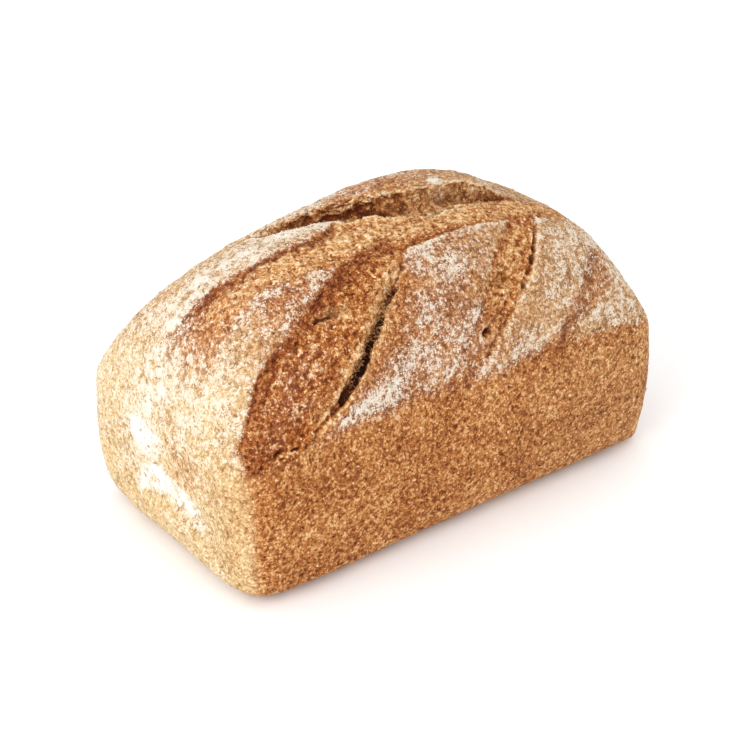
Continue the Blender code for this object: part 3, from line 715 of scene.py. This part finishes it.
colour = browned("crust")
for name, share in TONE_SHARES.items():
    colour = bake.mix(colour, browned(name), bake.layer(name) * share)
dusting = bake.layer("flour")
caught = (middle - 0.5) * CAUGHT_MIDDLE + (fine - 0.5) * CAUGHT_FINE
caught = caught + (grain_tone - 0.5) * CAUGHT_GRAIN + (0.5 - dip) * CAUGHT_DIP + dusting
cover = caught.between(*COVER_BETWEEN) * COVER_MOST + dusting * COVER_ALL_OVER
floured = bake.node("ShaderNodeClamp", {}, {"Value": cover * dusting.between(*LEAST_FLOUR)})
flour_tone = bake.mix(FLOUR_WHITE, THICK_FLOUR, dusting.between(*THICK_BETWEEN))
colour = bake.mix(colour, flour_tone, floured)
# Painted shade: a near-black brown in the cracks, the pores, and the depths and pits of the mouth
colour = bake.mix(colour, PAINTED_SHADE_BROWN, bake.layer("deep") * PAINTED_SHADE_SHARE)
relief = grain_edge * BUMP_EDGE + fine * BUMP_FINE + middle * BUMP_MIDDLE
bump = bake.node("ShaderNodeBump", {}, {"Height": relief, "Distance": BUMP_HEIGHT, "Strength": BUMP_STRENGTH},
                 "Normal")
bake.surface(colour, CRUST_ROUGHNESS, Normal=bump, **DULL)

crust.data.materials.clear()
crust.data.materials.append(bake.material)
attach(crust, "root")
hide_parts("loaf")

# Bran, crumb and flour: flakes that curled up in the oven, shreds along the torn edges
# and grains of flour caked together. One of each is modelled and copied to chance points
# of the crust as a joined piece; the flakes and shreds carry the crust's own values there.
BRAN_COUNT, BRAN_SIZES, BRAN_LIFT, BRAN_TILT = 7000, (0.35, 0.95), 0.05, 0.25
SHRED_COUNT, SHRED_SIZES, SHRED_LIFT, SHRED_TILT, SHRED_BEND = 900, (0.6, 1.6), 0.25, 0.6, 70
CLUMP_COUNT, CLUMP_SIZES, CLUMP_LIFT, CLUMP_TILT = 7000, (0.16, 0.5), 0.25, 0.2
BRAN_ANYWHERE, BRAN_ON_DOME, BRAN_OFF_CRACKS, BRAN_OFF_BASE = 0.45, 0.25, 0.2, 1.5
LIGHT_BRAN, LIGHT_DIP, DARK_DIP_FROM, BRAN_FLOUR = 0.72, 0.38, 0.72, 0.7
chance = np.random.default_rng(11)


def modelled(name, subdivisions, stretch, rough_by):
    """One grain: a ball drawn out, then knocked out of true."""
    bpy.ops.mesh.primitive_ico_sphere_add(subdivisions=subdivisions, radius=1.0)
    model = bpy.context.object
    model.name = name
    bpy.ops.object.mode_set(mode="EDIT")
    bpy.ops.mesh.select_all(action="SELECT")
    bpy.ops.transform.resize(value=stretch)
    bpy.ops.transform.vertex_random(offset=rough_by, seed=4)
    bpy.ops.object.mode_set(mode="OBJECT")
    return model


def strewn(name, model, weight, count, sizes, lift, tilt):
    """Copies of a model as one piece, at points of the crust picked by weight."""
    picked = chance.choice(len(moved), count, p=weight / weight.sum())
    up = out[picked] + tilt * chance.normal(size=(count, 3))
    up /= np.linalg.norm(up, axis=1)[:, None]
    side = np.cross(up, chance.normal(size=(count, 3)))
    side /= np.linalg.norm(side, axis=1)[:, None]
    axes = np.stack([side, np.cross(up, side), up], 1)
    size = sizes[0] + (sizes[1] - sizes[0]) * chance.random(count) ** 2
    model_points = rows_of(model, "co")
    copies = (model_points @ axes) * size[:, None, None]
    copies += (moved[picked] + out[picked] * (size * lift)[:, None])[:, None]
    corners = np.array([face.vertices for face in model.data.polygons])
    faces = corners[None] + (np.arange(count) * len(model_points))[:, None, None]
    mesh = bpy.data.meshes.new(name)
    mesh.from_pydata((copies.reshape(-1, 3) / MM).tolist(), [],
                     faces.reshape(-1, corners.shape[1]).tolist())
    piece = placed(name, mesh)
    bpy.data.objects.remove(model)
    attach(piece, "root")
    return piece, picked, len(model_points)


def carry(piece, picked, repeats, **changes):
    """Give a strewn piece the crust's values and finish, apart from some changed ones."""
    for name, values in layers.items():
        keep(piece, name, np.repeat(changes.get(name, values[picked]), repeats))
    piece.data.materials.append(bake.material)


flake = modelled("flake", 1, (1.0, 0.55, 0.22), 0.12)
bran_weight = (BRAN_ANYWHERE + torn + BRAN_ON_DOME * on_dome) * (moved[:, 2] > BRAN_OFF_BASE)
bran_weight = bran_weight * (open_crack < BRAN_OFF_CRACKS)
bran, picked, repeats = strewn("bran_flakes", flake, bran_weight, BRAN_COUNT, BRAN_SIZES, BRAN_LIFT, BRAN_TILT)
light = chance.random(BRAN_COUNT) < LIGHT_BRAN
spread = chance.random(BRAN_COUNT)
dark_dip = DARK_DIP_FROM + (1 - DARK_DIP_FROM) * spread
carry(bran, picked, repeats, dip=np.where(light, LIGHT_DIP * spread, dark_dip),
      flour=layers["flour"][picked] * BRAN_FLOUR)

shred = modelled("shred", 2, (1.0, 0.16, 0.13), 0.06)
apply_modifier(shred, "SIMPLE_DEFORM", deform_method="BEND", angle=math.radians(SHRED_BEND), deform_axis="Z")
torn_edge = 0.6 * near_line(WIDE_CRACK, 3.2, (0.05, 0.55)) + 0.7 * fringe + near_line(TEAR_LIP, 1.6)
shred_weight = np.clip(torn_edge, 0, 1) ** 2 * (crack_dark < 0.3)
shreds, picked, repeats = strewn("crumb_shreds", shred, shred_weight, SHRED_COUNT, SHRED_SIZES, SHRED_LIFT,
                                 SHRED_TILT)
carry(shreds, picked, repeats, dip=0.25 + 0.45 * chance.random(SHRED_COUNT),
      crumb=0.6 + 0.4 * chance.random(SHRED_COUNT), baked=0.2 * layers["baked"][picked],
      deep=np.zeros(SHRED_COUNT), flour=np.zeros(SHRED_COUNT))

clump = modelled("clump", 1, (1.0, 0.8, 0.6), 0.15)
clump_weight = np.clip(layers["flour"] - 0.25, 0, 1) ** 1.5 * on_dome
powder, _, _ = strewn("flour_grains", clump, clump_weight, CLUMP_COUNT, CLUMP_SIZES, CLUMP_LIFT, CLUMP_TILT)
caked = Finish("caked flour")
caked.surface(FLOUR_WHITE, FLOUR_ROUGHNESS, **DULL)
powder.data.materials.append(caked.material)

# The floor: a plain pale surface, so wide that its edge never shows. It lies a hair's
# breadth under the loaf, and is no part of it.
FLOOR_SIZE, FLOOR_DROP = 6.0, 0.0002
bpy.ops.mesh.primitive_plane_add(size=FLOOR_SIZE, location=(0, 0, -FLOOR_DROP))
floor = bpy.context.object
floor.name = "floor"
ground = Finish("pale floor")
ground.surface(paint(250, 250, 250), 0.9)
floor.data.materials.append(ground.material)

# The light: a large soft key high on the left, over the floured end, and an even white
# room that fills the shadows.
ROOM_LIGHT = 1.15
KEY_PLACE, KEY_AIM = Vector((-1.5, -0.35, 0.75)), Vector((0.0, 0.0, 0.05))
KEY_SIZE, KEY_POWER = 1.5, 17.0


def stand(thing, spot, aim):
    """Put a light or a camera at a spot and turn it to its aim."""
    thing.location = spot
    thing.rotation_euler = (aim - spot).to_track_quat("-Z", "Y").to_euler()


scene = bpy.context.scene
scene.view_settings.view_transform = "Standard"
room = bpy.data.worlds.new("white room")
room.use_nodes = True
background = room.node_tree.nodes["Background"]
background.inputs["Color"].default_value = (1.0, 1.0, 1.0, 1.0)
background.inputs["Strength"].default_value = ROOM_LIGHT
scene.world = room
key_light = bpy.data.lights.new("key", "AREA")
key_light.shape = "DISK"
key_light.size = KEY_SIZE
key_light.energy = KEY_POWER
stand(placed("key", key_light), KEY_PLACE, KEY_AIM)

# The camera: a long lens above the near left corner, as the photograph was taken. Its
# aim is the middle of the loaf.
EYE, AIM = Vector((-0.4204, -0.5568, 0.4465)), Vector((-0.0046, -0.0030, 0.0461))
LENS, SENSOR, NEAREST = 96.9, 36.0, 0.01
lens = bpy.data.cameras.new("camera")
lens.lens, lens.sensor_width, lens.clip_start = LENS, SENSOR, NEAREST
camera = placed("camera", lens)
stand(camera, EYE, AIM)
scene.camera = camera
